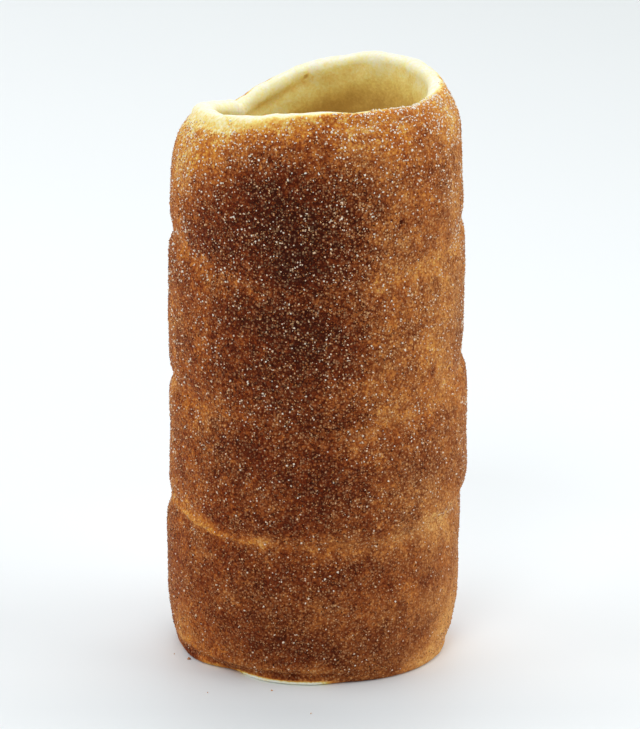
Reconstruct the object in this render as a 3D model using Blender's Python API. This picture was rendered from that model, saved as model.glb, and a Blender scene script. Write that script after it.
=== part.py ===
"""A chimney cake: one strip of yeast dough wound as a rising helix round a spit, baked, and slid off.

Metres, +Z up. The cake stands on its lower rim at z = 0, centred on its box, and is open at both ends.
Places round it are given in turns: 0 is the front (-Y), 0.25 the right (+X), 0.5 the back, 0.75 the left.
The strip rises as the turns go on, so its hand is that of a common screw.
"""

import math

import bmesh
import bpy
from mathutils import Vector, noise

MM = 0.001

# The tube.
BORE_RADIUS = 31.6 * MM  # left by the spit
RIM_HEIGHT = 163.6 * MM  # crest of the upper rim at the front

# The upper rim: how far its crest stands over the front, in eighths of a turn from the strip's end.
STRIP_END = 226 / 360  # where the last turn tapers out against the turn below
RIM_RISE = [rise * MM for rise in (-9.4, -4.9, -3.0, 0.3, -0.6, 0.4, 4.0, 0.4, -9.4)]
CREST_RISE = 2.6 * MM  # the rounded edge of the strip
SHOULDER_DEPTH, SHOULDER_FALL = 7.8 * MM, 6.5 * MM  # the outside leans in below the crest
THROAT_DEPTH, THROAT_FALL = 2.2 * MM, 12.0 * MM  # and the bore narrows towards it
RIM_SHIFT, RIM_SHIFT_FALL = 1.2 * MM, 12.0 * MM  # the upper end is set over to the right

# The seam between one turn of the strip and the next, one value a turn, from below the lower rim up.
SEAM_FRONT = [height * MM for height in (-44.0, -4.0, 41.0, 74.5, 114.4, 149.5)]
SEAM_SAG = [sag * MM for sag in (0.0, 3.0, 6.5, 10.5, 13.0, 13.0)]  # how far it hangs at the front
FIRST_SEAM_TURN = -1
CLIMB_START, CLIMB_END = 60 / 360, 300 / 360  # it climbs from turn to turn round the back
GROOVE_DEPTH, GROOVE_WIDTH = 0.8 * MM, 3.2 * MM
LEDGE_WIDTH = 3.5 * MM  # over which one turn's radius passes into the next one's
BORE_GROOVE = 0.4 * MM  # the seam shows less in the bore

# The strip: its outer radius every half turn, from three quarters of a turn before the lowest front.
STRIP_RADII = [r * MM for r in (41.8, 43.8, 41.2, 42.5, 42.8, 42.2, 41.4, 41.6, 40.7, 41.2)]
STRIP_RADII_START = -0.75
PUFF = 0.6 * MM  # how much higher a turn's middle stands than its edges

# The lower rim: its outer radius in eighths of a turn from the front.
FOOT_RADII = [r * MM for r in (38.6, 40.2, 37.2, 38.2, 39.0, 39.4, 40.8, 39.4, 38.6)]
FOOT_FALL = 8.0 * MM  # how fast the wall leans in to it
FOOT_ROUND = 2.2 * MM
BORE_LIP = 1.2 * MM  # bevel between the bore and the ground

# The dough's unevenness.
LUMP_SIZE, LUMP_HEIGHT = 19 * MM, 0.7 * MM
BORE_LUMP_SIZE, BORE_LUMP_HEIGHT = 15 * MM, 0.9 * MM

# How finely it is drawn.
COLUMNS = 84
ROWS_PER_TURN = 9
CREST_ROWS = 5
BORE_ROWS = 11
FOOT_ROWS = 3
ROW_CROWDING = 0.35  # draws the rows together near the seams


def smooth(value):
    """Eases from 0 to 1 as the value goes from 0 to 1."""
    value = min(max(value, 0.0), 1.0)
    return value * value * (3 - 2 * value)


def through(values, place):
    """The smooth curve through evenly spaced values, read at a place counted in their steps."""
    last = len(values) - 1
    place = min(max(place, 0.0), last)
    index = min(int(place), last - 1)
    step = place - index
    here, after = values[index], values[index + 1]
    before = values[index - 1] if index > 0 else 2 * here - after
    beyond = values[index + 2] if index + 2 <= last else 2 * after - here
    return here + step / 2 * (
        after - before
        + step * (2 * before - 5 * here + 4 * after - beyond + step * (3 * (here - after) + beyond - before))
    )


def front_share(turn):
    """1 at the front, falling to 0 at the back."""
    return ((1 + math.cos(math.tau * turn)) / 2) ** 2


def seam_height(turn):
    """Height of the seam, followed along the helix; whole turns are at the front."""
    start = math.floor(turn)
    index = start - FIRST_SEAM_TURN
    climb = smooth((turn - start - CLIMB_START) / (CLIMB_END - CLIMB_START))
    height = SEAM_FRONT[index] + climb * (SEAM_FRONT[index + 1] - SEAM_FRONT[index])
    sag = SEAM_SAG[index] + (turn - start) * (SEAM_SAG[index + 1] - SEAM_SAG[index])
    return height + sag * (1 - front_share(turn))


def rim_height(turn):
    """Height of the upper rim's crest."""
    return RIM_HEIGHT + through(RIM_RISE, ((turn - STRIP_END) % 1.0) * (len(RIM_RISE) - 1))


def seams_at(turn):
    """The strip's edges that cross one line up the wall: (height, turns along the helix)."""
    turn %= 1.0
    last_turn = 3 if turn < STRIP_END else 2
    return [(seam_height(turn + k), turn + k) for k in range(FIRST_SEAM_TURN, last_turn + 1)]


def strip_radius(along):
    """Outer radius of the strip, by how far along the helix its lower edge is."""
    return through(STRIP_RADII, (along - STRIP_RADII_START) * 2)


def seam_share(turn, height):
    """1 on a seam, falling to 0 away from it."""
    nearest = min(abs(height - seam) for seam, _ in seams_at(turn))
    return math.exp(-((nearest / GROOVE_WIDTH) ** 2))


def lump(turn, radius, height, size):
    """Smooth unevenness between about -1 and 1."""
    angle = math.tau * turn
    return noise.noise(Vector((radius * math.sin(angle), -radius * math.cos(angle), height)) / size)


def rim_shift(turn, drop):
    """Outward shift from the rim's offset to the right, at a drop below the crest."""
    return RIM_SHIFT * math.exp(-drop / RIM_SHIFT_FALL) * math.sin(math.tau * turn)


def outer_radius(turn, height):
    """Radius of the crust."""
    seams = seams_at(turn)
    lower, along = max(edge for edge in seams if edge[0] <= height)
    above = [seam for seam, _ in seams if seam > height]
    rim = rim_height(turn)
    upper = min(above) if above else rim
    lower = max(lower, 0.0)
    radius = strip_radius(along)
    # At a seam the two turns' radii meet halfway.
    if lower > 0:
        radius += (strip_radius(along - 1) - radius) * 0.5 * (1 - smooth((height - lower) / LEDGE_WIDTH))
    if above:
        radius += (strip_radius(along + 1) - radius) * 0.5 * (1 - smooth((upper - height) / LEDGE_WIDTH))
    across = (height - lower) / max(upper - lower, MM)
    radius -= PUFF * (2 * across - 1) ** 4
    radius -= GROOVE_DEPTH * seam_share(turn, height)
    radius += LUMP_HEIGHT * lump(turn, radius, height, LUMP_SIZE)
    foot = through(FOOT_RADII, turn * (len(FOOT_RADII) - 1))
    radius += (foot - radius) * math.exp(-height / FOOT_FALL)
    drop = rim - height
    return radius - SHOULDER_DEPTH * math.exp(-drop / SHOULDER_FALL) + rim_shift(turn, drop)


def inner_radius(turn, height):
    """Radius of the bore."""
    drop = rim_height(turn) - height
    radius = BORE_RADIUS + BORE_GROOVE * seam_share(turn, height) + rim_shift(turn, drop)
    radius += BORE_LUMP_HEIGHT * lump(turn, BORE_RADIUS, height, BORE_LUMP_SIZE)
    return radius - THROAT_DEPTH * math.exp(-drop / THROAT_FALL)


def wall_heights(turn):
    """Heights of the crust's rows. At the front they follow the seams."""
    sag = 1 - front_share(turn)
    edges = [FOOT_ROUND]
    edges += [SEAM_FRONT[index] + SEAM_SAG[index] * sag for index in (2, 3, 4)]
    edges += [rim_height(turn) - CREST_RISE]
    heights = []
    for low, high in zip(edges, edges[1:]):
        for row in range(ROWS_PER_TURN):
            share = row / ROWS_PER_TURN
            share -= ROW_CROWDING * math.sin(math.tau * share) / math.tau
            heights.append(low + (high - low) * share)
    return heights + edges[-1:]


def section(turn):
    """The wall's closed outline on one side of the axis: (radius, height), up the crust and down the bore."""
    points = [(outer_radius(turn, height), height) for height in wall_heights(turn)]
    outer, shoulder = points[-1]
    inner = inner_radius(turn, shoulder)
    middle, half = (outer + inner) / 2, (outer - inner) / 2
    for row in range(1, CREST_ROWS):
        angle = math.pi * row / CREST_ROWS
        points.append((middle + half * math.cos(angle), shoulder + CREST_RISE * math.sin(angle)))
    for row in range(BORE_ROWS + 1):
        height = shoulder + (BORE_LIP - shoulder) * row / BORE_ROWS
        points.append((inner_radius(turn, height), height))
    points.append((points[-1][0] + BORE_LIP, 0.0))
    for row in range(FOOT_ROWS):
        angle = math.pi / 2 * row / FOOT_ROWS
        points.append((points[0][0] - FOOT_ROUND * (1 - math.sin(angle)), FOOT_ROUND * (1 - math.cos(angle))))
    return points


def centred(points):
    """The points, moved level until their box is centred on the axis."""
    for axis in (0, 1):
        middle = (min(p[axis] for p in points) + max(p[axis] for p in points)) / 2
        for point in points:
            point[axis] -= middle
    return points


def material(name, colour, roughness):
    made = bpy.data.materials.new(name)
    made.use_nodes = True
    shader = made.node_tree.nodes["Principled BSDF"]
    shader.inputs["Base Color"].default_value = (*colour, 1)
    shader.inputs["Roughness"].default_value = roughness
    shader.inputs["Metallic"].default_value = 0.0
    return made


def chimney_cake():
    """The whole cake as one ring-shaped skin, drawn section by section round the axis."""
    sections = [section(column / COLUMNS) for column in range(COLUMNS)]
    rows = len(sections[0])
    points = []
    for column, outline in enumerate(sections):
        angle = math.tau * column / COLUMNS
        points += [Vector((r * math.sin(angle), -r * math.cos(angle), z)) for r, z in outline]

    shape = bmesh.new()
    corners = [shape.verts.new(point) for point in centred(points)]
    crust_rows = len(wall_heights(0.0))
    for column in range(COLUMNS):
        beside = (column + 1) % COLUMNS
        for row in range(rows):
            above = (row + 1) % rows
            # The diagonal rises with the strip, so that the grooves come out even.
            right_half = (column, row), (beside, row), (beside, above)
            left_half = (column, row), (beside, above), (column, above)
            for ring in (right_half, left_half):
                face = shape.faces.new([corners[c * rows + r] for c, r in ring])
                face.material_index = 0 if row < crust_rows else 1
    mesh = bpy.data.meshes.new("chimney_cake")
    shape.to_mesh(mesh)
    shape.free()
    mesh.materials.append(material("crust", (0.27, 0.105, 0.04), 0.75))
    mesh.materials.append(material("crumb", (0.72, 0.55, 0.26), 0.8))
    mesh.shade_smooth()
    bpy.context.scene.collection.objects.link(bpy.data.objects.new("chimney_cake", mesh))


for old in list(bpy.data.objects):
    bpy.data.objects.remove(old)
chimney_cake()
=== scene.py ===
"""A chimney cake on a pale table: browned, sugared crust outside, pale soft crumb at the rim and in the bore.

Metres, +Z up. Places round the cake are given in turns, or in degrees for the marks on it: 0 is the front
(-Y), a quarter turn or 90 degrees the right (+X). The strip of dough rises as the turns go on.
"""

import math

import bpy
import numpy as np
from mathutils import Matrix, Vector, noise


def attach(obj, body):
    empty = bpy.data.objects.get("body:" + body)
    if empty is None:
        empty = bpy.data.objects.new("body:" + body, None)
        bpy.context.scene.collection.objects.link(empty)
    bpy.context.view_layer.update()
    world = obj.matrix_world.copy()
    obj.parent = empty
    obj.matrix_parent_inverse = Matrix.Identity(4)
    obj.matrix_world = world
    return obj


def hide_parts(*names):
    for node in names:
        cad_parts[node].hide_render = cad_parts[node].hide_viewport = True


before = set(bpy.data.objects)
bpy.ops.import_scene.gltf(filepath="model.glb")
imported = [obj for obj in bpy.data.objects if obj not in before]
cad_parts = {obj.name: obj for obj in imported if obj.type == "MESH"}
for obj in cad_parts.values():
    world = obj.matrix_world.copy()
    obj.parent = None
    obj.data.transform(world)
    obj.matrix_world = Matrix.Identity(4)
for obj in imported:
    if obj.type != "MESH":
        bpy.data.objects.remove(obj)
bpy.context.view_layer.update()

MM = 0.001

# ---- The cake's form, with the same names and sizes as its solid.
BORE_RADIUS = 31.6 * MM
RIM_HEIGHT = 163.6 * MM
STRIP_END = 226 / 360
RIM_RISE = np.array((-9.4, -4.9, -3.0, 0.3, -0.6, 0.4, 4.0, 0.4, -9.4)) * MM
CREST_RISE = 2.6 * MM
SHOULDER_DEPTH, SHOULDER_FALL = 7.8 * MM, 6.5 * MM
THROAT_DEPTH, THROAT_FALL = 2.2 * MM, 12.0 * MM
RIM_SHIFT, RIM_SHIFT_FALL = 1.2 * MM, 12.0 * MM
SEAM_FRONT = np.array((-44.0, -4.0, 41.0, 74.5, 114.4, 149.5)) * MM
SEAM_SAG = np.array((0.0, 3.0, 6.5, 10.5, 13.0, 13.0)) * MM
FIRST_SEAM_TURN, LAST_SEAM_TURN = -1, 3
NO_SEAM = 1.0  # a height over the whole cake, where the last seam has ended
CLIMB_START, CLIMB_END = 60 / 360, 300 / 360
GROOVE_DEPTH, GROOVE_WIDTH = 0.8 * MM, 3.2 * MM
LEDGE_WIDTH = 3.5 * MM
BORE_GROOVE = 0.4 * MM
STRIP_RADII = np.array((41.8, 43.8, 41.2, 42.5, 42.8, 42.2, 41.4, 41.6, 40.7, 41.2)) * MM
STRIP_RADII_START = -0.75
PUFF = 0.6 * MM
FOOT_RADII = np.array((38.6, 40.2, 37.2, 38.2, 39.0, 39.4, 40.8, 39.4, 38.6)) * MM
FOOT_FALL = 8.0 * MM
FOOT_ROUND = 2.2 * MM
BORE_LIP = 1.2 * MM
LUMP_SIZE, LUMP_HEIGHT = 19 * MM, 0.7 * MM
BORE_LUMP_SIZE, BORE_LUMP_HEIGHT = 15 * MM, 0.9 * MM
SKIN_RADIUS, FOOT_RADIUS = 42 * MM, 40 * MM  # the usual ones, for distances round the crust and the foot
CREST_HALF = 2.8 * MM  # along the skin, from the middle of the rim's crest to its side
SHOWN_SEAMS = (2, 3, 4)  # the seams that show at the front, counted in SEAM_FRONT

# ---- How finely the skin is drawn.
COLUMNS = 400
ROWS_PER_TURN = 41
CREST_ROWS = 16
CRUST_FADE_ROWS = 6  # rows of the crest over which the crust's bumps give way to the crumb's
BORE_ROWS = 44
FOOT_ROWS = 7
ROW_CROWDING = 0.45
BORE_CROWDING = 1.7  # draws the bore's rows together towards the rim

# The marks below use these forms.
# AT is a direction in degrees and a width in turns.
# LINES run along a mark. Each has its distance from the seam, the ground or the crest's middle, and its
# half width, both in mm, and then an amount: mm for relief, a share for browning.
# FADE is a distance at which a change starts and the length that it takes, in mm.
# UNEVEN is a list of layers of noise, each with its size in mm, its amount and a place of its own.

# ---- Relief finer than the solid's.
DOUGH_UNEVEN = ((6.0, 0.22, 0.0), (2.6, 0.13, 3.1), (1.3, 0.07, 6.2))
CRUMB_UNEVEN = ((9.0, 0.5, 7.7), (4.0, 0.3, 8.7), (1.9, 0.09, 9.7))
CRINKLE_AT = (-46, 0.085)  # a crinkled edge along the lowest seam
CRINKLE_LINES = ((0.3, 0.8, 0.9), (2.2, 1.2, -0.35))
CRINKLE_UNEVEN = ((5, 0.8, 11.0),)
LOWEST_SEAM = 1  # the lowest seam over the ground at the left, counted as in seams_at
DRAWN_IN_AT = (82, 0.13)  # where the lowest turn draws in a little
DRAWN_IN, DRAWN_IN_FALL = 0.9 * MM, 16 * MM
ROLL_AT = (-26, 0.10)  # the strip's rolled edge over the foot, and the hollow under it
ROLL_LINES = ((4.9, 1.3, 0.8), (2.6, 1.4, -0.7))
FOLD_AT = (208, 0.075)  # the rim's rolled edge, in the bore
FOLD_LINES = ((6.0, 1.2, -1.0), (3.6, 1.4, 0.35))
FOLD_UNEVEN = ((6, 0.7, 17.0),)
CREASE, CREASE_HALF = 231, 0.5 * MM  # where the rolled edge springs from the turn below
CREASE_LINES = ((1.5, 4.0, 0.45),)
DIP_AT = (18, 0.035)  # a shallow dip in the crest
DIP_LINES = ((0.0, 3.0, -0.5),)
BORE_FADE, INSIDE_FADE = (0, 1), (-1.5, 3)  # for the bore's relief and for the crumb's colours
PIT, PIT_HEIGHT, PIT_HALF, PIT_DEPTH = 34.3, 133.7 * MM, 0.9 * MM, 1.2 * MM
STANDING_FADE = (0, 1.0)  # nothing bulges below the foot

# ---- The foot's edge.
LIP, LIP_HALF, LIP_END = -16, 0.078, 0.04  # a pale lip of dough under the crust
LIP_OUT, LIP_FADE = 1.4 * MM, (0.4, 1.0)
BULGE_AT, BULGE = (-60, 0.025), 0.9 * MM
NICK_AT, NICK = (-37, 0.028), 2.4 * MM
EDGE_FADE = (0.6, 2.2)

# ---- Browning, from 0, raw crumb, to 1, nearly burnt.
CRUST_TOAST, LIGHTEST_CRUST = 0.56, 0.32
CRUST_TOAST_UNEVEN = ((22, 0.08, 5.5), (8, 0.08, 6.5), (3.5, 0.06, 8.5))
SEAM_PALER, LOWEST_SEAM_PALER = 0.09, 0.12
SEAM_TOAST_LINES = ((0.5, 3.6, 1.0),)
SEAM_TOAST_UNEVEN = ((9, 1.1, 2.2),)
CRINKLE_TOAST_LINES = ((0.4, 0.9, -0.14), (-1.8, 1.0, 0.10))
ROLL_TOAST_LINES = ((4.9, 1.3, -0.13), (2.6, 1.3, 0.03))
PIT_TOAST = 0.6
# Degrees, height, half width, half height (mm), how much darker.
PATCHES = (
    (-12, 138, 17, 14, 0.41),
    (-8, 121, 13, 8, 0.30),
    (-44, 127, 9, 13, 0.10),
    (-30, 107, 12, 8, 0.20),
    (-2, 103, 13, 10, 0.32),
    (-16, 90, 19, 8, 0.16),
    (-4, 77, 19, 6, 0.16),
    (-31, 71, 9, 6, 0.14),
    (-14, 62, 16, 8, 0.18),
    (6, 57, 12, 7, 0.14),
    (52, 74, 9, 6, 0.12),
    (-14, 49, 14, 4, 0.12),
    (-40, 48, 8, 5, 0.14),
    (-35, 40, 6, 4, 0.10),
    (13, 35, 9, 6, 0.10),
    (-20, 32, 16, 7, 0.12),
    (-29, 17, 8, 6, 0.12),
    (-4, 12, 18, 5, 0.12),
    (50, 13, 8, 3, 0.08),
    (47, 26.5, 3, 1.6, 0.16),
    (3, 67, 6, 2.5, 0.10),
    (44, 62, 9, 4, 0.06),
    (-65, 1.5, 6, 2, 0.30),
    (50, 88.5, 1.3, 1.3, 0.30),
    (50, 156.5, 1.5, 1.2, 0.15),
    (-57, 127, 7, 6, 0.12),
    (-66, 98, 7, 14, 0.08),
    (-67, 57, 6, 6, 0.10),
    (-34, 120, 5, 4, 0.07),
    (16, 79, 5, 4, 0.08),
    (17, 48, 6, 4, 0.07),
    (54, 147, 11, 7, 0.06),
    (-70, 147, 15, 16, -0.18),
    (-42, 153, 9, 7, -0.10),
    (-67, 121, 5, 4, -0.12),
    (-55, 78, 6, 5, -0.05),
    (6, 117, 5, 10, -0.07),
    (34, 124, 10, 24, -0.08),
    (16, 154, 16, 6, -0.11),
    (26, 120, 6, 5, -0.06),
    (62, 154, 12, 9, -0.08),
    (26, 102, 5, 5, -0.06),
    (50, 100, 12, 16, -0.04),
    (38, 86, 14, 9, -0.10),
    (24, 82, 6, 26, -0.05),
    (34, 64, 10, 12, -0.06),
    (54, 41, 14, 9, -0.14),
    (68, 9, 12, 10, -0.26),
    (52, 3, 13, 3, -0.20),
    (52, 19, 9, 7, -0.08),
    (-69, 8, 8, 9, -0.16),
    (-80, 70, 18, 90, -0.07),
    (82, 90, 24, 90, -0.145),
)

# The pale rim, in eighths of a turn from the front: where it starts, past the crest's middle, and how
# wide it fades.
RIM_PALE = np.array((-1.0, 2.4, -0.1, -1.4, -0.6, 0.0, -1.4, -0.6, -1.0)) * MM
RIM_PALE_UNEVEN = ((3, 0.6, 3.3),)
RIM_FADE = np.array((2.6, 1.4, 1.6, 2.0, 2.0, 1.5, 5.0, 7.5, 2.6)) * MM
RIM_FADE_UNEVEN = ((6, 0.3, 4.4),)
PALE_RUSH = 1.7  # how fast the pale edge gives way to the crust
CRUST_ENDS, CRUST_GONE = 0.15, 0.65  # how pale the skin is where the crust starts to end, and where it has
GOLDEN_REACH, GOLDEN_PALER, GOLDEN_TOAST = 7.0 * MM, 0.28, 0.24  # the crust below it stays lighter

# The crumb, from the crest down the bore. Deep in the bore it darkens: partly browner crumb and partly
# painted shade inside the tube, most on the back wall.
CRUMB_TOAST, PALEST_CRUMB = 0.03, 0.04
CRUMB_DEEPER, CRUMB_DEEPER_FADE = 0.12, (1.2, 3.2)
CRUMB_TOAST_UNEVEN, CRUMB_UNEVEN_FADE = ((8, 0.07, 9.5), (2.5, 0.06, 1.5)), (-1, 5)
DEEP_TOAST_AND_SHADE, DEEP_BACK_TOAST_AND_SHADE, DEEP_BACK_AT = 0.12, 0.26, (190, 0.16)
DEEP_START, DEEP_LENGTH = 6, 9
DEEP_LATER, DEEP_LATER_AT = 4, (198, 0.06)
SIDE_TOAST, SIDE_AT, SIDE_FADE = 0.07, (138, 0.08), (3, 4)
SPECK, SPECK_HALF = 186.5, 0.8 * MM  # a golden speck inside the rim
SPECK_LINES = ((3.4, 0.5, 0.45),)

# The pale lip at the foot, and a lighter stretch of the foot's edge left of it.
LIP_TOAST, LIP_TOAST_FADE = 0.02, (0.75, 0.5)
LIGHT_EDGE, LIGHT_EDGE_HALF, LIGHT_EDGE_END = -49, 0.02, 0.01
LIGHT_EDGE_TOAST, LIGHT_EDGE_FADE = 0.30, (0.9, 0.8)

# ---- The coat of fine sugar, from 0, none, to 1, thick.
COAT, COAT_AT_RIGHT, COAT_AT_FOOT, FOOT_COAT_HEIGHT = 0.28, 0.40, 0.12, 50 * MM
COAT_UNEVEN = ((14, 0.24, 14.5), (4, 0.2, 16.5))
PALE_PATCH, COAT_ON_PALE = -0.1, 1.2  # patches lighter than this have more
THIN_COAT_AT, THINNER_COAT, THIN_COAT_REACH = (15, 0.25), 0.6, 8 * MM  # less near the rim
LEAST_COAT, MOST_COAT = 0.05, 0.95
MELTED_AT_RIGHT, MELTED_AT_FOOT, MELTED_HEIGHT = 0.35, 0.35, 60 * MM


# ---- Numbers.


def smooth(value):
    """Eases from 0 to 1 as the value goes from 0 to 1."""
    value = np.clip(value, 0.0, 1.0)
    return value * value * (3 - 2 * value)


def eased(distance, start, length):
    """Eases from 0 to 1 over a length that starts at a distance; both are in mm."""
    return smooth((distance - start * MM) / (length * MM))


def bell(gap, width):
    """1 in the middle, falling to 0 on both sides."""
    return np.exp(-((gap / width) ** 2))


def lines(distance, each):
    """The sum of soft lines; each has its distance and its half width in mm, and its amount."""
    return sum(amount * bell(distance - middle * MM, half * MM) for middle, half, amount in each)


def through(values, place):
    """The smooth curve through evenly spaced values, read at places counted in their steps."""
    last = len(values) - 1
    place = np.clip(place, 0.0, last)
    index = np.minimum(place.astype(int), last - 1)
    padded = np.concatenate([[2 * values[0] - values[1]], values, [2 * values[-1] - values[-2]]])
    step = place - index
    before, here, after, beyond = (padded[index + k] for k in range(4))
    return here + step / 2 * (
        after - before
        + step * (2 * before - 5 * here + 4 * after - beyond + step * (3 * (here - after) + beyond - before))
    )


def rough(points, size, seed=0.0):
    """Smooth unevenness of one size at each point, between about -1 and 1."""
    flat = (points / size + seed).reshape(-1, 3)
    return np.array([noise.noise(Vector(point)) for point in flat]).reshape(points.shape[:-1])


def uneven(points, layers):
    """The sum of layers of unevenness; each has its size in mm, its amount and its seed."""
    return sum(amount * rough(points, size * MM, seed) for size, amount, seed in layers)


def gap_round(turn, degrees):
    """Signed way round from a direction, in turns."""
    return (turn - degrees / 360 + 0.5) % 1.0 - 0.5


def facing(turn, degrees, width):
    """1 in a direction, falling to 0 on both sides of it; the width is in turns."""
    return bell(gap_round(turn, degrees), width)


def stretch(turn, degrees, half, end):
    """1 along a stretch of the way round, easing to 0 over its two ends; lengths are in turns."""
    return smooth((half - np.abs(gap_round(turn, degrees))) / end)


def arc(turn, degrees, radius):
    """Signed distance from a direction along a ring."""
    return gap_round(turn, degrees) * math.tau * radius


def on_ring(turn, radius, height):
    angle = math.tau * turn
    return np.stack([radius * np.sin(angle), -radius * np.cos(angle), height], axis=-1)


# ---- The plain form.


def front_share(turn):
    """1 at the front, falling to 0 at the back."""
    return ((1 + np.cos(math.tau * turn)) / 2) ** 2


def seam_height(turn):
    """Height of the seam, followed along the helix; whole turns are at the front."""
    start = np.floor(turn)
    index = (start - FIRST_SEAM_TURN).astype(int)
    climb = smooth((turn - start - CLIMB_START) / (CLIMB_END - CLIMB_START))
    height = SEAM_FRONT[index] + climb * (SEAM_FRONT[index + 1] - SEAM_FRONT[index])
    sag = SEAM_SAG[index] + (turn - start) * (SEAM_SAG[index + 1] - SEAM_SAG[index])
    return height + sag * (1 - front_share(turn))


def rim_height(turn):
    """Height of the upper rim's crest."""
    return RIM_HEIGHT + through(RIM_RISE, ((turn - STRIP_END) % 1.0) * (len(RIM_RISE) - 1))


def seams_at(turn):
    """Heights of the seams over each place on the ring, lowest first; the last one is there only in part."""
    turn = turn % 1.0
    heights = np.stack([seam_height(turn + k) for k in range(FIRST_SEAM_TURN, LAST_SEAM_TURN + 1)])
    heights[-1] = np.where(turn < STRIP_END, heights[-1], NO_SEAM)
    return heights


def strip_radius(along):
    """Outer radius of the strip, by how far along the helix its lower edge is."""
    return through(STRIP_RADII, (along - STRIP_RADII_START) * 2)


def seam_gap(turn, height):
    """How far above the nearest seam a place is, negative below it, and which seam that is."""
    gaps = height - seams_at(turn)
    nearest = np.abs(gaps).argmin(axis=0)
    return np.take_along_axis(gaps, nearest[None], axis=0)[0], nearest


def seam_share(turn, height):
    """1 on a seam, falling to 0 away from it."""
    return bell(seam_gap(turn, height)[0], GROOVE_WIDTH)


def rim_shift(turn, drop):
    """Outward shift from the rim's offset to the right, at a drop below the crest."""
    return RIM_SHIFT * np.exp(-drop / RIM_SHIFT_FALL) * np.sin(math.tau * turn)


def outer_radius(turn, height):
    """Radius of the crust."""
    seams = seams_at(turn)
    below = (seams <= height).sum(axis=0) - 1
    last = len(seams) - 1
    lower = np.take_along_axis(seams, below[None], axis=0)[0]
    upper = np.take_along_axis(seams, np.minimum(below + 1, last)[None], axis=0)[0]
    has_upper = (below < last) & (upper < NO_SEAM)
    rim = rim_height(turn)
    upper = np.where(has_upper, upper, rim)
    along = turn % 1.0 + below + FIRST_SEAM_TURN
    radius = strip_radius(along)
    # At a seam the two turns' radii meet halfway.
    blend = 0.5 * (1 - smooth((height - lower) / LEDGE_WIDTH))
    radius += np.where(lower > 0, (strip_radius(along - 1) - radius) * blend, 0.0)
    blend = 0.5 * (1 - smooth((upper - height) / LEDGE_WIDTH))
    radius += np.where(has_upper, (strip_radius(along + 1) - radius) * blend, 0.0)
    lower = np.maximum(lower, 0.0)
    across = (height - lower) / np.maximum(upper - lower, MM)
    radius -= PUFF * (2 * across - 1) ** 4
    radius -= GROOVE_DEPTH * seam_share(turn, height)
    radius += LUMP_HEIGHT * rough(on_ring(turn, radius, height), LUMP_SIZE)
    foot = through(FOOT_RADII, (turn % 1.0) * (len(FOOT_RADII) - 1))
    radius += (foot - radius) * np.exp(-height / FOOT_FALL)
    drop = rim - height
    return radius - SHOULDER_DEPTH * np.exp(-drop / SHOULDER_FALL) + rim_shift(turn, drop)


def inner_radius(turn, height):
    """Radius of the bore."""
    drop = rim_height(turn) - height
    radius = BORE_RADIUS + BORE_GROOVE * seam_share(turn, height) + rim_shift(turn, drop)
    radius += BORE_LUMP_HEIGHT * rough(on_ring(turn, BORE_RADIUS, height), BORE_LUMP_SIZE)
    return radius - THROAT_DEPTH * np.exp(-drop / THROAT_FALL)


def wall_heights(turn):
    """Heights of the crust's rows over each column, one array a row. At the front they follow the seams."""
    sag = 1 - front_share(turn)
    edges = [np.full_like(turn, FOOT_ROUND)]
    edges += [SEAM_FRONT[index] + SEAM_SAG[index] * sag for index in SHOWN_SEAMS]
    edges += [rim_height(turn) - CREST_RISE]
    heights = []
    for low, high in zip(edges, edges[1:]):
        for row in range(ROWS_PER_TURN):
            share = row / ROWS_PER_TURN
            share -= ROW_CROWDING * math.sin(math.tau * share) / math.tau
            heights.append(low + (high - low) * share)
    return heights + edges[-1:]


def ring_rows(turn):
    """The skin's rows as (radius, height) over each column: up the crust, over the crest, down the bore."""
    rows = [(outer_radius(turn, height), height) for height in wall_heights(turn)]
    crust_rows = len(rows)
    outer, shoulder = rows[-1]
    inner = inner_radius(turn, shoulder)
    middle, half = (outer + inner) / 2, (outer - inner) / 2
    for row in range(1, CREST_ROWS):
        angle = math.pi * row / CREST_ROWS
        rows.append((middle + half * math.cos(angle), shoulder + CREST_RISE * math.sin(angle)))
    for row in range(BORE_ROWS + 1):
        share = (row / BORE_ROWS) ** BORE_CROWDING
        height = shoulder + (BORE_LIP - shoulder) * share
        rows.append((inner_radius(turn, height), height))
    rows.append((rows[-1][0] + BORE_LIP, np.zeros_like(turn)))
    for row in range(FOOT_ROWS):
        angle = math.pi / 2 * row / FOOT_ROWS
        height = np.full_like(turn, FOOT_ROUND * (1 - math.cos(angle)))
        rows.append((rows[0][0] - FOOT_ROUND * (1 - math.sin(angle)), height))
    return rows, crust_rows


def ring_grid():
    """The whole skin as a grid [column, row, xyz], with the turn and the height of each point."""
    turn = np.arange(COLUMNS) / COLUMNS
    rows, crust_rows = ring_rows(turn)
    radius = np.stack([r for r, _ in rows], axis=1)
    height = np.stack([h for _, h in rows], axis=1)
    turn = np.broadcast_to(turn[:, None], radius.shape)
    grid = on_ring(turn, radius, height)
    middle = (grid.min(axis=(0, 1)) + grid.max(axis=(0, 1))) / 2
    grid[..., :2] -= middle[:2]
    return grid, turn, height, crust_rows


def ring_faces(columns, rows):
    """Triangles of the ring grid, with diagonals that rise with the strip."""
    column, row = np.meshgrid(np.arange(columns), np.arange(rows), indexing="ij")
    beside, above = (column + 1) % columns, (row + 1) % rows
    here, right = column * rows + row, beside * rows + row
    corner, over = beside * rows + above, column * rows + above
    first = np.stack([here, right, corner], axis=-1).reshape(-1, 3)
    second = np.stack([here, corner, over], axis=-1).reshape(-1, 3)
    return np.concatenate([first, second])


def normals_of(grid):
    """Outward normals of a ring grid [column, row, xyz]."""
    round_it = np.roll(grid, -1, axis=0) - np.roll(grid, 1, axis=0)
    up_it = np.roll(grid, -1, axis=1) - np.roll(grid, 1, axis=1)
    normals = np.cross(round_it, up_it)
    return normals / np.linalg.norm(normals, axis=-1, keepdims=True)


# ---- The marks on it.


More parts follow.
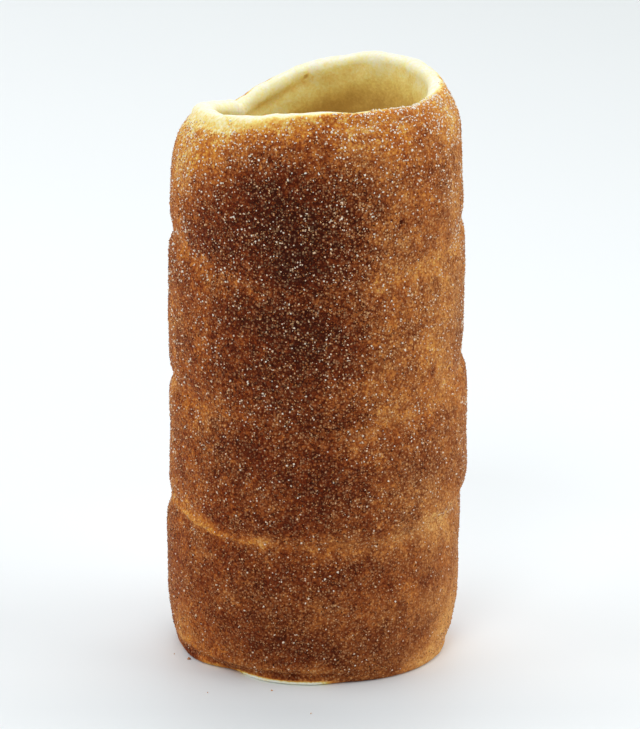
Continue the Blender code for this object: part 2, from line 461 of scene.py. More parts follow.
def wall_share(rows, crust_rows):
    """1 on the crust's rows, falling to 0 over the crest and at the foot."""
    share = np.zeros(rows)
    share[:crust_rows] = 1.0
    fade = np.arange(1, CRUST_FADE_ROWS + 1) / (CRUST_FADE_ROWS + 1)
    share[crust_rows : crust_rows + CRUST_FADE_ROWS] = 1 - smooth(fade)
    share[-FOOT_ROWS:] = smooth(np.arange(FOOT_ROWS) / FOOT_ROWS)
    return share


def over_rim(turn, height, crust_rows):
    """How far past the middle of the rim's crest each point lies, along the skin; negative on the crust."""
    drop = rim_height(turn) - height
    past = CREST_HALF + np.maximum(drop - CREST_RISE, 0.0)
    past[:, :crust_rows] *= -1
    over = np.arange(1, CREST_ROWS) / CREST_ROWS
    past[:, crust_rows : crust_rows + CREST_ROWS - 1] = -CREST_HALF * np.cos(math.pi * over)
    past[:, -FOOT_ROWS:] *= -1
    return past


def patches(turn, height):
    """How much darker the patches of browning make each place."""
    total = np.zeros_like(height)
    for degrees, level, wide, tall, darker in PATCHES:
        across = bell(arc(turn, degrees, SKIN_RADIUS), wide * MM)
        total += darker * across * bell(height - level * MM, tall * MM)
    return total


def crinkle(turn, height):
    """How crinkled the lowest seam's edge is, and how far above its wavy line a place is."""
    gap, seam = seam_gap(turn, height)
    wave = MM * uneven(on_ring(turn, SKIN_RADIUS, np.zeros_like(height)), CRINKLE_UNEVEN)
    return facing(turn, *CRINKLE_AT) * (seam == LOWEST_SEAM), gap + wave


def pit(turn, height):
    """1 in a small pit in the crust, 0 away from it."""
    across, above = arc(turn, PIT, SKIN_RADIUS), height - PIT_HEIGHT
    return np.exp(-(((across / PIT_HALF) ** 2 + (above / PIT_HALF) ** 2) ** 2))


def relief(grid, turn, height, wall, past):
    """How far the skin's finer forms stand out from the plain one."""
    crumb = MM * uneven(grid, CRUMB_UNEVEN)
    total = crumb + (MM * uneven(grid, DOUGH_UNEVEN) - crumb) * wall
    crinkled, over_seam = crinkle(turn, height)
    total = total + MM * wall * crinkled * lines(over_seam, CRINKLE_LINES)
    total = total - wall * DRAWN_IN * facing(turn, *DRAWN_IN_AT) * np.exp(-height / DRAWN_IN_FALL)
    total = total + MM * facing(turn, *ROLL_AT) * lines(height, ROLL_LINES)
    fold = eased(past, *BORE_FADE) * facing(turn, *FOLD_AT)
    total = total + MM * fold * lines(past + MM * uneven(grid, FOLD_UNEVEN), FOLD_LINES)
    crease = bell(arc(turn, CREASE, BORE_RADIUS), CREASE_HALF)
    total = total + MM * crease * lines(past, CREASE_LINES)
    total = total + MM * facing(turn, *DIP_AT) * lines(past, DIP_LINES)
    return total - wall * PIT_DEPTH * pit(turn, height)


def foot_edge(turn, height):
    """How far the foot's edge stands out: in a lip, in left of that, and out again at the left."""
    low = 1 - eased(height, *EDGE_FADE)
    out = low * (BULGE * facing(turn, *BULGE_AT) - NICK * facing(turn, *NICK_AT))
    return out + LIP_OUT * stretch(turn, LIP, LIP_HALF, LIP_END) * (1 - eased(height, *LIP_FADE))


def crust_toast(grid, turn, height):
    """How baked the crust is, away from the rim."""
    level = CRUST_TOAST + uneven(grid, CRUST_TOAST_UNEVEN) + patches(turn, height)
    gap, seam = seam_gap(turn, height)
    paler = np.where(seam == LOWEST_SEAM, LOWEST_SEAM_PALER, SEAM_PALER)
    level = level - paler * (1 + uneven(grid, SEAM_TOAST_UNEVEN)) * lines(gap, SEAM_TOAST_LINES)
    level = level + facing(turn, *ROLL_AT) * lines(height, ROLL_TOAST_LINES)
    crinkled, over_seam = crinkle(turn, height)
    level = level + crinkled * lines(over_seam, CRINKLE_TOAST_LINES)
    return np.clip(level + PIT_TOAST * pit(turn, height), LIGHTEST_CRUST, 1.0)


def crumb_toast(grid, turn, past):
    """How browned the crumb is, on the crest and down the bore, with painted shade added deep in the bore."""
    # Deep down, the crumb is browner and darker still with painted shade inside the tube, most on the back
    # wall.
    start = DEEP_START + DEEP_LATER * facing(turn, *DEEP_LATER_AT)
    deep_and_shaded = DEEP_TOAST_AND_SHADE + DEEP_BACK_TOAST_AND_SHADE * facing(turn, *DEEP_BACK_AT)
    level = CRUMB_TOAST + CRUMB_DEEPER * eased(past, *CRUMB_DEEPER_FADE)
    level = level + deep_and_shaded * eased(past, start, DEEP_LENGTH)
    level = level + SIDE_TOAST * facing(turn, *SIDE_AT) * eased(past, *SIDE_FADE)
    level = level + eased(past, *CRUMB_UNEVEN_FADE) * uneven(grid, CRUMB_TOAST_UNEVEN)
    speck = bell(arc(turn, SPECK, BORE_RADIUS), SPECK_HALF) * lines(past, SPECK_LINES)
    return np.maximum(level, PALEST_CRUMB) + speck


def toast_of(grid, turn, height, past, crust_rows):
    """How baked each point is, and where the crust is: 1 on it, 0 on the crumb."""
    # Paler towards the rim, most at the left, where it was never near the heat.
    eighths = (turn % 1.0) * (len(RIM_PALE) - 1)
    fade = through(RIM_FADE, eighths) * (1 + uneven(grid, RIM_FADE_UNEVEN))
    from_pale = past - through(RIM_PALE, eighths) + MM * uneven(grid, RIM_PALE_UNEVEN)
    golden = np.exp(np.minimum(from_pale, 0.0) / GOLDEN_REACH)
    crust = np.maximum(crust_toast(grid, turn, height) - GOLDEN_PALER * golden, GOLDEN_TOAST)
    crumb = crumb_toast(grid, turn, past)
    pale = np.clip(1 + from_pale / fade, 0.0, 1.0) ** PALE_RUSH
    level = crust * (1 - pale) + crumb * pale
    crusty = 1 - smooth((pale - CRUST_ENDS) / (CRUST_GONE - CRUST_ENDS))
    # The edge under the crust at the front, just over the table.
    lip = stretch(turn, LIP, LIP_HALF, LIP_END) * (1 - eased(height, *LIP_TOAST_FADE))
    level = level * (1 - lip) + LIP_TOAST * lip
    edge = stretch(turn, LIGHT_EDGE, LIGHT_EDGE_HALF, LIGHT_EDGE_END) * (1 - eased(height, *LIGHT_EDGE_FADE))
    level = level * (1 - edge) + LIGHT_EDGE_TOAST * edge
    row = np.arange(turn.shape[1])
    in_bore = np.broadcast_to((row >= crust_rows + CREST_ROWS) & (row < len(row) - FOOT_ROWS), turn.shape)
    return np.clip(np.where(in_bore, crumb, level), 0.0, 1.0), np.where(in_bore, 0.0, crusty * (1 - lip))


def coat_of(grid, turn, height, past):
    """How thick the fine sugar lies."""
    right = 0.5 + 0.5 * np.sin(math.tau * turn)
    low = bell(height, FOOT_COAT_HEIGHT)
    coat = COAT + COAT_AT_RIGHT * right + COAT_AT_FOOT * low + uneven(grid, COAT_UNEVEN)
    coat = coat - COAT_ON_PALE * np.minimum(patches(turn, height) - PALE_PATCH, 0.0)
    near = np.exp(np.minimum(past, 0.0) / THIN_COAT_REACH)
    coat = coat * (1 - THINNER_COAT * near * facing(turn, *THIN_COAT_AT))
    return np.clip(coat, LEAST_COAT, MOST_COAT)


def rugged_of(turn, height):
    """How sharply the grains stand out: 1, and less at the right and near the foot, where more has melted."""
    melted_right = MELTED_AT_RIGHT * smooth(np.sin(math.tau * turn))
    return 1 - melted_right - MELTED_AT_FOOT * bell(height, MELTED_HEIGHT)


def mesh_object(name, points, faces, attributes):
    """An object made from arrays, with named values at its points."""
    mesh = bpy.data.meshes.new(name)
    mesh.vertices.add(len(points))
    mesh.vertices.foreach_set("co", points.astype(np.float32).ravel())
    sides = faces.shape[1]
    mesh.loops.add(faces.size)
    mesh.loops.foreach_set("vertex_index", faces.astype(np.int32).ravel())
    mesh.polygons.add(len(faces))
    mesh.polygons.foreach_set("loop_start", np.arange(0, faces.size, sides, dtype=np.int32))
    mesh.polygons.foreach_set("loop_total", np.full(len(faces), sides, dtype=np.int32))
    mesh.update(calc_edges=True)
    for label, values in attributes.items():
        attribute = mesh.attributes.new(label, "FLOAT", "POINT")
        attribute.data.foreach_set("value", values.astype(np.float32).ravel())
    made = bpy.data.objects.new(name, mesh)
    bpy.context.scene.collection.objects.link(made)
    return made


# ---- Materials.

# A Mix node's sockets for colours.
MIX_SHARE, MIX_FIRST, MIX_SECOND, MIX_RESULT = 0, 6, 7, 2


class Nodes:
    """Short hand for a material's node tree."""

    def __init__(self, name):
        self.material = bpy.data.materials.new(name)
        self.material.use_nodes = True
        self.tree = self.material.node_tree
        self.shader = self.tree.nodes["Principled BSDF"]

    def add(self, kind, **settings):
        node = self.tree.nodes.new("ShaderNode" + kind)
        for key, value in settings.items():
            setattr(node, key, value)
        return node

    def link(self, source, target):
        self.tree.links.new(source, target)

    def put(self, value, socket):
        """Links an output to a socket, or sets the socket to a plain value."""
        if isinstance(value, bpy.types.NodeSocket):
            self.link(value, socket)
        elif isinstance(value, tuple) and len(value) == 3 and len(socket.default_value) == 4:
            socket.default_value = (*value, 1)
        else:
            socket.default_value = value

    def set(self, **values):
        """Sets the shader's inputs."""
        for name, value in values.items():
            self.put(value, self.shader.inputs[name.replace("_", " ")])

    def attribute(self, name):
        return self.add("Attribute", attribute_name=name).outputs["Fac"]

    def place(self):
        return self.add("TexCoord").outputs["Object"]

    def noise(self, size, detail, roughness=0.6):
        node = self.add("TexNoise")
        node.inputs["Scale"].default_value = 1 / size
        node.inputs["Detail"].default_value = detail
        node.inputs["Roughness"].default_value = roughness
        self.link(self.place(), node.inputs["Vector"])
        return node.outputs["Fac"]

    def cells(self, size):
        """Cells of one size: three chances that are its own for each, and the distance from its middle."""
        node = self.add("TexVoronoi")
        node.inputs["Scale"].default_value = 1 / size
        self.link(self.place(), node.inputs["Vector"])
        chances = self.add("SeparateColor")
        self.link(node.outputs["Color"], chances.inputs["Color"])
        return chances.outputs, node.outputs["Distance"]

    def math(self, operation, *values, clamp=False):
        node = self.add("Math", operation=operation, use_clamp=clamp)
        for value, socket in zip(values, node.inputs):
            self.put(value, socket)
        return node.outputs[0]

    def times(self, first, *others):
        for other in others:
            first = self.math("MULTIPLY", first, other)
        return first

    def plus(self, first, *others):
        for other in others:
            first = self.math("ADD", first, other)
        return first

    def swing(self, value, width):
        """A value from 0 to 1 as a swing to both sides of 0, over a width."""
        return self.times(self.math("SUBTRACT", value, 0.5), width)

    def spread(self, value, low, high, to_low=0.0, to_high=1.0):
        """Maps low..high to to_low..to_high, kept inside them."""
        node = self.add("MapRange")
        self.put(value, node.inputs["Value"])
        self.put(low, node.inputs["From Min"])
        self.put(high, node.inputs["From Max"])
        self.put(to_low, node.inputs["To Min"])
        self.put(to_high, node.inputs["To Max"])
        return node.outputs["Result"]

    def ramp(self, value, stops):
        node = self.add("ValToRGB")
        elements = node.color_ramp.elements
        while len(elements) < len(stops):
            elements.new(0.5)
        for element, (position, colour) in zip(elements, stops):
            element.position = position
            element.color = (*colour, 1)
        self.link(value, node.inputs["Fac"])
        return node.outputs["Color"]

    def mix(self, share, first, second):
        node = self.add("Mix", data_type="RGBA")
        self.put(share, node.inputs[MIX_SHARE])
        self.put(first, node.inputs[MIX_FIRST])
        self.put(second, node.inputs[MIX_SECOND])
        return node.outputs[MIX_RESULT]

    def bump(self, height, strength, distance):
        node = self.add("Bump")
        node.inputs["Strength"].default_value = strength
        node.inputs["Distance"].default_value = distance
        self.link(height, node.inputs["Height"])
        return node.outputs["Normal"]


def srgb(*screen):
    """A colour named by its screen values, as the linear light that materials work in."""
    shares = [value / 255 for value in screen]
    return tuple(v / 12.92 if v <= 0.04045 else ((v + 0.055) / 1.055) ** 2.4 for v in shares)


# Colours of the dough as it bakes, from raw crumb to nearly burnt.
TOAST = (
    (0.00, srgb(253, 249, 228)),
    (0.08, srgb(249, 238, 192)),
    (0.15, srgb(243, 219, 128)),
    (0.22, srgb(232, 182, 92)),
    (0.30, srgb(214, 137, 50)),
    (0.42, srgb(187, 106, 44)),
    (0.55, srgb(147, 73, 31)),
    (0.70, srgb(112, 44, 17)),
    (0.85, srgb(84, 30, 12)),
    (1.00, srgb(54, 18, 8)),
)

# The same where more sugar has melted into the crust, which turns it from red-brown to tan.
SUGARED = (
    (0.20, srgb(230, 182, 112)),
    (0.35, srgb(200, 140, 82)),
    (0.50, srgb(152, 97, 54)),
    (0.65, srgb(113, 60, 30)),
    (0.85, srgb(80, 36, 18)),
)

# Colours of the crumb, from the rim down to the depth of the bore, which is browner there and darker with
# painted shade.
CRUMB = (
    (0.00, srgb(253, 250, 230)),
    (0.08, srgb(251, 243, 196)),
    (0.16, srgb(249, 235, 156)),
    (0.25, srgb(240, 216, 126)),
    (0.35, srgb(224, 190, 104)),
    (0.50, srgb(200, 160, 84)),
)

SUGAR_LIGHT, SUGAR_LIGHT_SHARE = srgb(232, 194, 144), 0.75
MOTTLE_SIZE, MOTTLE_SWING = 3.2 * MM, 0.7
FINE_SIZE, FINE_SWING = 0.8 * MM, 0.55
GRAIN_SIZE, GRAIN_SWING = 0.7 * MM, 0.15
GRAIN_LIGHTER, GAP_DARKER, GAP_STRENGTH = -0.22, 0.28, 1.7  # the first two in browning
CLOUD_SIZE, CLOUD_SWING = 0.4 * MM, 0.5  # inside each grain of sugar


def crust_material():
    """Browned dough under a thin, half melted coat of sugar and cinnamon; pale crumb where it is unbaked."""
    n = Nodes("baked_crust")
    toast = n.attribute("toast")
    coat = n.attribute("coat")
    crusty = n.attribute("crusty")
    rough_crust = n.times(crusty, n.attribute("rugged"))
    # Mottling: deeper and lighter browning, stronger the browner and the rougher the crust is.
    fine = n.noise(FINE_SIZE, detail=2.0)
    coarse = n.noise(MOTTLE_SIZE, detail=4.0, roughness=0.7)
    mottle = n.plus(n.swing(coarse, MOTTLE_SWING), n.swing(fine, FINE_SWING))
    by_toast, by_crust = n.spread(toast, 0.30, 0.60, 0.75, 1.0), n.spread(rough_crust, 0.0, 1.0, 0.4, 1.0)
    # The coat: grains too fine to stand out, each with its own tint, and dark gaps between them.
    (light_chance, gap_chance, tint_chance), from_middle = n.cells(GRAIN_SIZE)
    own_tint = n.times(n.swing(tint_chance, GRAIN_SWING), rough_crust)
    level = n.plus(toast, n.times(mottle, by_toast, by_crust), own_tint)
    plain = n.ramp(level, TOAST)
    sugared = n.mix(n.spread(coat, 0.30, 0.85, 0.0, 0.65), plain, n.ramp(level, SUGARED))
    colour = n.mix(n.attribute("inside"), n.mix(crusty, plain, sugared), n.ramp(level, CRUMB))
    core = n.spread(from_middle, 0.30, 0.55, 1.0, 0.0)
    light = n.times(n.spread(light_chance, 0.35, 1.0), core, rough_crust, coat)
    lighter = n.mix(SUGAR_LIGHT_SHARE, n.ramp(n.plus(level, GRAIN_LIGHTER), TOAST), SUGAR_LIGHT)
    colour = n.mix(light, colour, lighter)
    gap = n.times(n.math("SUBTRACT", 1.0, core), n.spread(gap_chance, 0.2, 0.8), rough_crust, coat)
    gap = n.times(gap, n.spread(toast, 0.35, 0.62, 0.3, 1.0))
    gap = n.math("MULTIPLY", gap, GAP_STRENGTH, clamp=True)
    colour = n.mix(gap, colour, n.ramp(n.plus(level, GAP_DARKER), TOAST))
    # Bumps of the coat and of the crumb's skin.
    height = n.plus(n.times(from_middle, -1.0), n.times(fine, 0.6))
    height = n.times(height, n.spread(crusty, 0.0, 1.0, 0.3, 1.0))
    n.set(
        Base_Color=colour,
        Roughness=n.spread(fine, 0.3, 0.7, 0.55, 0.75),
        Normal=n.bump(height, strength=0.7, distance=0.3 * MM),
        Specular_IOR_Level=0.04,
        Subsurface_Weight=n.spread(toast, 0.18, 0.45, 0.5, 0.06),
        Subsurface_Scale=4 * MM,
        Subsurface_Radius=(1.0, 0.75, 0.4),
    )
    return n.material


def grain_material(name, dull, bright, roughness, specular):
    """Sugar or spice: each grain has its own tint between two colours, a little cloudy inside."""
    n = Nodes(name)
    cloud = n.noise(CLOUD_SIZE, detail=1.0)
    tint = n.math("ADD", n.attribute("tint"), n.swing(cloud, CLOUD_SWING), clamp=True)
    n.set(
        Base_Color=n.mix(tint, dull, bright),
        Roughness=roughness,
        Specular_IOR_Level=specular,
        Normal=n.bump(cloud, strength=0.3, distance=0.1 * MM),
    )
    return n.material


# ---- The cake.

grid, turn, height, crust_rows = ring_grid()
rows = grid.shape[1]
wall = np.broadcast_to(wall_share(rows, crust_rows), turn.shape)
past = over_rim(turn, height, crust_rows)
stands_out = relief(grid, turn, height, wall, past) * eased(height, *STANDING_FADE)
grid = grid + normals_of(grid) * stands_out[..., None]
grid[..., :2] *= 1 + ((past < 0) * foot_edge(turn, height) / FOOT_RADIUS)[..., None]
skin_normals = normals_of(grid)

# toast is the browning, and deep in the bore it also holds painted shade.
toast, crusty = toast_of(grid, turn, height, past, crust_rows)
rugged = rugged_of(turn, height)
looks = {
    "toast": toast,
    "crusty": crusty,
    "coat": coat_of(grid, turn, height, past),
    "inside": eased(past, *INSIDE_FADE),
    "rugged": rugged,
}
cake = mesh_object("baked_crust", grid.reshape(-1, 3), ring_faces(COLUMNS, rows), looks)
cake.data.shade_smooth()
cake.data.materials.append(crust_material())
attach(cake, "root")
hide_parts("chimney_cake")


# ---- Sugar and spice.

GRAIN_REACH = 0.62  # from a grain's middle to its corners, in its own sizes
GRAIN_CORNERS = np.array([(1, 0, 0), (-1, 0, 0), (0, 1, 0), (0, -1, 0), (0, 0, 1), (0, 0, -1)]) * GRAIN_REACH
GRAIN_FACES = np.array(
    [(0, 2, 4), (2, 1, 4), (1, 3, 4), (3, 0, 4), (2, 0, 5), (1, 2, 5), (3, 1, 5), (0, 3, 5)]
)
GRAIN_SHAPES = (0.65, 1.15)  # from flat to long
GRAIN_JITTER = 0.14
GRAIN_SIZE_SPREAD = (1.6, 3.0)  # more small grains than large ones
SUGARED_CREST_ROWS = CREST_ROWS * 3 // 4  # grains lie on the crust and this far over the crest
MELTED_SINK = 0.2  # how much deeper a grain lies where the sugar has melted, in its own sizes
SOAKED_TOAST, MELTED_TINT = 0.50, 0.40  # where the crust's colour, and melting, leave a tint as it is
RIM_TINT = 0.45  # grains near the rim are this much brighter


def random_turns(random, count):
    """Random rotation matrices."""
    q = random.normal(size=(count, 4))
    w, x, y, z = (q / np.linalg.norm(q, axis=1, keepdims=True)).T
    return np.stack(
        [
            np.stack([1 - 2 * (y * y + z * z), 2 * (x * y - w * z), 2 * (x * z + w * y)], axis=-1),
            np.stack([2 * (x * y + w * z), 1 - 2 * (x * x + z * z), 2 * (y * z - w * x)], axis=-1),
            np.stack([2 * (x * z - w * y), 2 * (y * z + w * x), 1 - 2 * (x * x + y * y)], axis=-1),
        ],
        axis=1,
    )


def crystals(random, places, sizes):
    """Joined eight-sided crystals, one at each place, each with its own proportions and tilt."""
    count, sides = len(places), len(GRAIN_CORNERS)
    shape = sizes[:, None] * random.uniform(*GRAIN_SHAPES, (count, 3))
    jitter = sizes[:, None, None] * random.uniform(-GRAIN_JITTER, GRAIN_JITTER, (count, sides, 3))
    corners = GRAIN_CORNERS * shape[:, None, :] + jitter
    corners = np.einsum("nij,nkj->nki", random_turns(random, count), corners) + places[:, None, :]
    faces = GRAIN_FACES + sides * np.arange(count)[:, None, None]
    return corners.reshape(-1, 3), faces.reshape(-1, 3)


def sprinkled(random, count, dense):
    """Random places on the crust, by area and by how thick the grains lie: point, normal, column and row."""
    rows_used = np.arange(crust_rows + SUGARED_CREST_ROWS)
    near = grid[:, rows_used]
    step_round = np.roll(near, -1, axis=0) - near
    step_up = grid[:, rows_used + 1] - near
    area = np.linalg.norm(np.cross(step_round, step_up), axis=-1)
    weight = (area * dense[:, rows_used]).ravel()
    cell = random.choice(weight.size, size=count, p=weight / weight.sum())
    column, row = np.divmod(cell, len(rows_used))
    u, v = random.random((2, count, 1))
    beside = (column + 1) % COLUMNS
    low = grid[column, row] * (1 - u) + grid[beside, row] * u
    high = grid[column, row + 1] * (1 - u) + grid[beside, row + 1] * u
    return low * (1 - v) + high * v, skin_normals[column, row], column, row


def grains(name, seed, count, smallest, largest, dense, stands, soaked, made_of):
    """One piece of loose grains lying on the crust; soaked is how much they take its colour."""
    random = np.random.default_rng(seed)
    places, normals, column, row = sprinkled(random, count, dense)
    sizes = smallest + (largest - smallest) * random.beta(*GRAIN_SIZE_SPREAD, count)
    out = random.uniform(*stands, count) - MELTED_SINK * (1 - rugged[column, row])
    places = places + normals * (sizes * out)[:, None]
    points, faces = crystals(random, places, sizes)
    tint = random.random(count) + soaked * (SOAKED_TOAST - toast[column, row])
    tint = MELTED_TINT + (tint - MELTED_TINT) * rugged[column, row] + RIM_TINT * near_rim[column, row]
    piece = mesh_object(name, points, faces, {"tint": np.repeat(tint, len(GRAIN_CORNERS))})
    piece.data.materials.append(made_of)
    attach(piece, "root")


# How thick each kind lies: the amounts are relative. White sugar keeps to the rim and to clumps, amber
# sugar and spice to the darkest crust, and the others lie all over.
CLOUD_UNEVEN = ((12, 0.8, 21.0), (4, 0.8, 22.0))
TAN_UNEVEN = ((9, 0.6, 23.0),)
SPICE_UNEVEN = ((10, 0.8, 31.0),)
THINNEST_CLOUD, THINNEST_TAN, THINNEST_SPICE = 0.08, 0.2, 0.1
DARK_FROM, DARK_OVER = 0.40, 0.22  # in browning
BEIGE_FROM, BEIGE_OVER, BEIGE_LOSS = 0.6, 0.25, 0.45  # there are fewer beige grains on the darkest crust
NEAR_RIM = 12 * MM
WHITE_LEFT_AT, WHITE_RIGHT_AT = (-42, 0.13), (62, 0.10)
CLUMP_AT, CLUMP_LINES = (49, 0.035), ((-0.3, 1.8, 9),)
WHITE_FADE, SPICE_FADE = (20, 70), (5, 9)
BARE_AT, BARE_FADE = (200, 0.30), (3.5, 2)

clouds = np.maximum(1 + uneven(grid, CLOUD_UNEVEN), THINNEST_CLOUD)
dark = smooth((toast - DARK_FROM) / DARK_OVER)
near_rim = np.exp(np.minimum(past, 0.0) / NEAR_RIM)
# From the front, grains behind the back's crest would stand against the light.
dressed = 1 - facing(turn, *BARE_AT) * (1 - eased(-past, *BARE_FADE))
dressed = dressed * (1 - pit(turn, height))

rim_white = near_rim * (0.8 + 1.5 * facing(turn, *WHITE_LEFT_AT) + 1.0 * facing(turn, *WHITE_RIGHT_AT))
white_dense = clouds * crusty * (0.45 + 0.1 * dark + rim_white) * (0.4 + eased(height, *WHITE_FADE))
white_dense = (white_dense + facing(turn, *CLUMP_AT) * lines(past, CLUMP_LINES)) * dressed
tan_dense = np.maximum(1 + uneven(grid, TAN_UNEVEN), THINNEST_TAN) * crusty * (1 - 0.5 * near_rim) * dressed
beige_dense = tan_dense * (1 - BEIGE_LOSS * smooth((toast - BEIGE_FROM) / BEIGE_OVER))
amber_dense = clouds * crusty * (0.35 + 0.8 * dark) * (1 - 0.9 * near_rim) * dressed
spice_dense = np.maximum(1 + uneven(grid, SPICE_UNEVEN), THINNEST_SPICE) * crusty * (0.2 + dark)
spice_dense = spice_dense * eased(-past, *SPICE_FADE) * dressed

white_sugar = grain_material(
    "white_sugar", dull=srgb(222, 172, 118), bright=srgb(255, 251, 236), roughness=0.12, specular=1.0
)
beige_sugar = grain_material(
    "beige_sugar", dull=srgb(160, 90, 42), bright=srgb(236, 190, 136), roughness=0.25, specular=0.2
)
tan_sugar = grain_material(
    "tan_sugar", dull=srgb(132, 64, 24), bright=srgb(206, 136, 70), roughness=0.25, specular=0.18
)
amber_sugar = grain_material(
    "amber_sugar", dull=srgb(70, 24, 8), bright=srgb(172, 86, 32), roughness=0.3, specular=0.12
)
cinnamon = grain_material(
    "cinnamon", dull=srgb(26, 11, 8), bright=srgb(62, 28, 15), roughness=0.7, specular=0.1
)
grains(
    "sugar_white", seed=11, count=8000, smallest=0.30 * MM, largest=0.82 * MM,
    dense=white_dense, stands=(-0.05, 0.25), soaked=0.5, made_of=white_sugar,
)
grains(
    "sugar_beige", seed=15, count=21000, smallest=0.28 * MM, largest=0.58 * MM,
    dense=beige_dense, stands=(-0.1, 0.2), soaked=1.0, made_of=beige_sugar,
)
grains(
    "sugar_tan", seed=12, count=22000, smallest=0.26 * MM, largest=0.60 * MM,
    dense=tan_dense, stands=(-0.2, 0.15), soaked=1.0, made_of=tan_sugar,
)
grains(
    "sugar_amber", seed=13, count=24000, smallest=0.26 * MM, largest=0.62 * MM,
    dense=amber_dense, stands=(-0.3, 0.10), soaked=0.8, made_of=amber_sugar,
)
grains(
    "cinnamon_specks", seed=14, count=5000, smallest=0.18 * MM, largest=0.50 * MM,
    dense=spice_dense, stands=(0.0, 0.3), soaked=1.0, made_of=cinnamon,
)


# ---- Table, light and camera.

TABLE_RADIUS, TABLE_CORNERS = 3.5, 128
# The table's tones, and where each one fades: by Y, by the distance from the cake, or by a slanting way back.
TABLE_NEAR, TABLE_CLOUD_SIZE = ((0.825, 0.865, 0.88), (0.845, 0.885, 0.895)), 0.35
# A painted shadow: the table is darker in front of the cake, where the cake's shadow falls towards the
# camera.
TABLE_FRONT_SHADOW, FRONT_BY_Y, FRONT_BY_DISTANCE = (0.77, 0.82, 0.84), (-0.055, -0.03), (0.06, 0.14)
# Painted light: the table is lighter beside the cake, lifting the shade that the side lamps leave there.
TABLE_BESIDE_LIGHT, BESIDE_BY_Y, BESIDE_BY_DISTANCE = (0.90, 0.955, 0.975), (-0.06, 0.0), (0.05, 0.15)
# Painted shade: the table is darker far back to the right, where the light falls off.
TABLE_FAR_SHADE, FAR_SLANT, FAR_BY_WAY_BACK = (0.67, 0.705, 0.71), 0.9, (0.30, 1.15)
# Crumbs on the table: x, y and size, in mm.
TABLE_CRUMBS = ((-36.5, -20, 0.9), (-30.5, -45, 0.5), (-12.5, -43.5, 0.6), (-1.5, -60, 0.5), (-41, -16, 0.4))
CRUMB_MIDDLE, CRUMB_TINTS = 0.3, (0.3, 1.0)  # a crumb's height over the table, in its own sizes

SKY_COLOUR, SKY_POWER = (0.97, 0.98, 1.0, 1), 0.45
WHITE, WARM_WHITE = (1, 1, 1), (1.0, 0.995, 0.975)

CAMERA_TILT = math.radians(17.2)
CAMERA_DISTANCE = 1.0
CAMERA_AIM = Vector((0.001, 0.0, 0.0824))
CAMERA_LENS, CAMERA_SENSOR = 173.0, 36.0  # in mm, as the camera counts them


def table_material():
    """A pale, dull table top with faint tones, a painted shadow in front of the cake, painted light beside it
    and painted shade far back.
    """
    n = Nodes("pale_table")
    axes = n.add("SeparateXYZ")
    n.link(n.place(), axes.inputs["Vector"])
    radius = n.add("VectorMath", operation="LENGTH")
    n.link(n.place(), radius.inputs[0])
    x, y, from_cake = axes.outputs["X"], axes.outputs["Y"], radius.outputs["Value"]
    # Painted shadow in front of the cake, painted light beside it and painted shade far back.
    front = n.times(n.spread(y, *FRONT_BY_Y, 1.0, 0.0), n.spread(from_cake, *FRONT_BY_DISTANCE, 1.0, 0.0))
    beside = n.times(n.spread(from_cake, *BESIDE_BY_DISTANCE, 1.0, 0.0), n.spread(y, *BESIDE_BY_Y))
    far = n.spread(n.plus(y, n.times(x, FAR_SLANT)), *FAR_BY_WAY_BACK)
    colour = n.mix(n.noise(TABLE_CLOUD_SIZE, detail=2.0), *TABLE_NEAR)
    colour = n.mix(front, colour, TABLE_FRONT_SHADOW)
    colour = n.mix(beside, colour, TABLE_BESIDE_LIGHT)
    n.set(Base_Color=n.mix(far, colour, TABLE_FAR_SHADE), Roughness=0.45, Specular_IOR_Level=0.25)
    return n.material


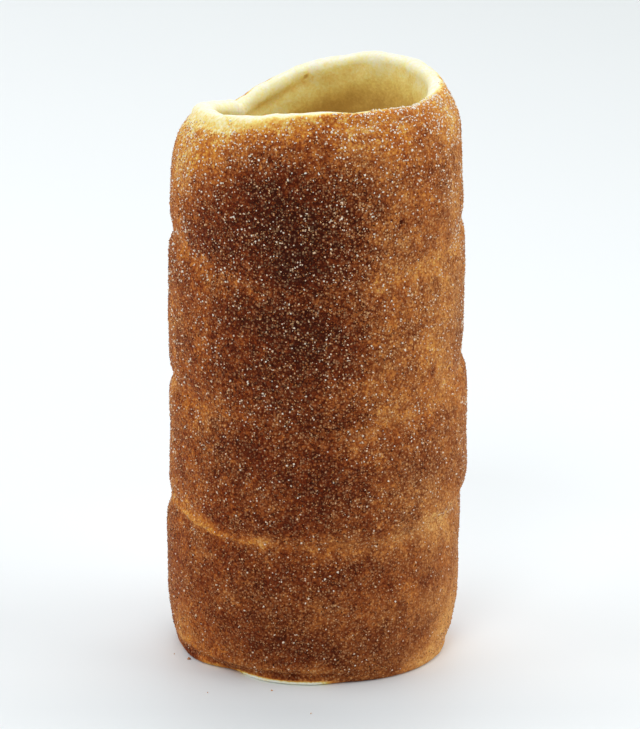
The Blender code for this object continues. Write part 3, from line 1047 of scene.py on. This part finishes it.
def far_softbox(name, degrees, climb, width, power, colour=WHITE):
    """A broad soft light far off, in a direction round the cake and so high over the horizon; in degrees."""
    lamp = bpy.data.lights.new(name, "SUN")
    lamp.angle = math.radians(width)
    lamp.energy = power
    lamp.color = colour
    made = bpy.data.objects.new(name, lamp)
    round_it, up_it = math.radians(degrees), math.radians(climb)
    level = math.cos(up_it)
    to_it = Vector((math.sin(round_it) * level, -math.cos(round_it) * level, math.sin(up_it)))
    made.rotation_euler = (-to_it).to_track_quat("-Z", "Y").to_euler()
    bpy.context.scene.collection.objects.link(made)


bpy.ops.mesh.primitive_circle_add(
    vertices=TABLE_CORNERS, radius=TABLE_RADIUS, fill_type="NGON", location=(0, 0, 0)
)
floor = bpy.context.object
floor.name = "table"
floor.data.materials.append(table_material())

crumb_x, crumb_y, crumb_size = (np.array(TABLE_CRUMBS) * MM).T
crumb_places = np.stack([crumb_x, crumb_y, crumb_size * CRUMB_MIDDLE], axis=1)
crumb_points, crumb_faces = crystals(np.random.default_rng(17), crumb_places, crumb_size)
crumb_tints = np.repeat(np.linspace(*CRUMB_TINTS, len(TABLE_CRUMBS)), len(GRAIN_CORNERS))
table_crumbs = mesh_object("table_crumbs", crumb_points, crumb_faces, {"tint": crumb_tints})
table_crumbs.data.materials.append(
    grain_material(
        "crumb_on_table", dull=srgb(166, 92, 44), bright=srgb(226, 176, 120), roughness=0.5, specular=0.3
    )
)

world = bpy.data.worlds.new("studio")
world.use_nodes = True
sky = world.node_tree.nodes["Background"]
sky.inputs["Color"].default_value = SKY_COLOUR
sky.inputs["Strength"].default_value = SKY_POWER
bpy.context.scene.world = world
far_softbox("left_softbox", degrees=-92, climb=34, width=50, power=0.90)
far_softbox("right_softbox", degrees=86, climb=34, width=50, power=1.10, colour=WARM_WHITE)
far_softbox("back_softbox", degrees=170, climb=54, width=60, power=1.20)
far_softbox("front_lamp", degrees=-20, climb=46, width=20, power=0.45)

camera = bpy.data.objects.new("camera", bpy.data.cameras.new("camera"))
camera.data.lens = CAMERA_LENS
camera.data.sensor_width = CAMERA_SENSOR
back = Vector((0, -math.cos(CAMERA_TILT), math.sin(CAMERA_TILT)))
camera.location = CAMERA_AIM + back * CAMERA_DISTANCE
camera.rotation_euler = (math.pi / 2 - CAMERA_TILT, 0, 0)
bpy.context.scene.collection.objects.link(camera)
bpy.context.scene.camera = camera
bpy.context.scene.view_settings.view_transform = "Standard"
